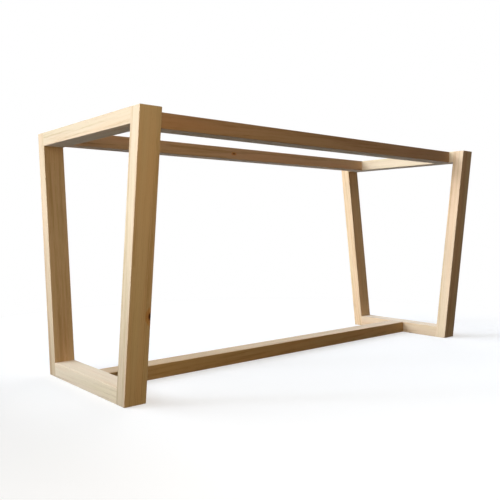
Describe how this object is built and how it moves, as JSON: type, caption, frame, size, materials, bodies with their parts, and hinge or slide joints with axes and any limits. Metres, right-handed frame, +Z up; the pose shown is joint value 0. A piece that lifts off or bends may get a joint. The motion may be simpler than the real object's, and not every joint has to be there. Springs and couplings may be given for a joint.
{
  "type": "table base",
  "caption": "Wooden table base: leaning legs in trapezoid end frames, joined by long rails set in under the top and a low central stretcher.",
  "frame": {"origin": "on the floor, under the middle of the base", "axes": "+X along the base, from the left end frame to the right one; +Y from front to back; +Z up, out of the seat of the table top"},
  "size_m": [1.43, 0.5996, 0.71],
  "materials": {
    "timber": "satin oiled",
    "tenon_stock": "sawn"
  },
  "bodies": {
    "root": {"foot_rail_left": "timber", "foot_rail_right": "timber", "leg_left_back": "timber", "leg_left_front": "timber", "leg_right_back": "timber", "leg_right_front": "timber", "long_rail_back": "timber", "long_rail_front": "timber", "stretcher": "timber", "top_rail_left": "timber", "top_rail_right": "timber", "tenon_left_back_foot_inner": "tenon_stock", "tenon_left_back_foot_outer": "tenon_stock", "tenon_left_back_top_inner": "tenon_stock", "tenon_left_back_top_outer": "tenon_stock", "tenon_left_front_foot_inner": "tenon_stock", "tenon_left_front_foot_outer": "tenon_stock", "tenon_left_front_top_inner": "tenon_stock", "tenon_left_front_top_outer": "tenon_stock", "tenon_long_rail_back_left": "tenon_stock", "tenon_long_rail_back_right": "tenon_stock", "tenon_long_rail_front_left": "tenon_stock", "tenon_long_rail_front_right": "tenon_stock", "tenon_right_back_foot_inner": "tenon_stock", "tenon_right_back_foot_outer": "tenon_stock", "tenon_right_back_top_inner": "tenon_stock", "tenon_right_back_top_outer": "tenon_stock", "tenon_right_front_foot_inner": "tenon_stock", "tenon_right_front_foot_outer": "tenon_stock", "tenon_right_front_top_inner": "tenon_stock", "tenon_right_front_top_outer": "tenon_stock", "tenon_stretcher_left": "tenon_stock", "tenon_stretcher_right": "tenon_stock"}
  },
  "joints": []
}
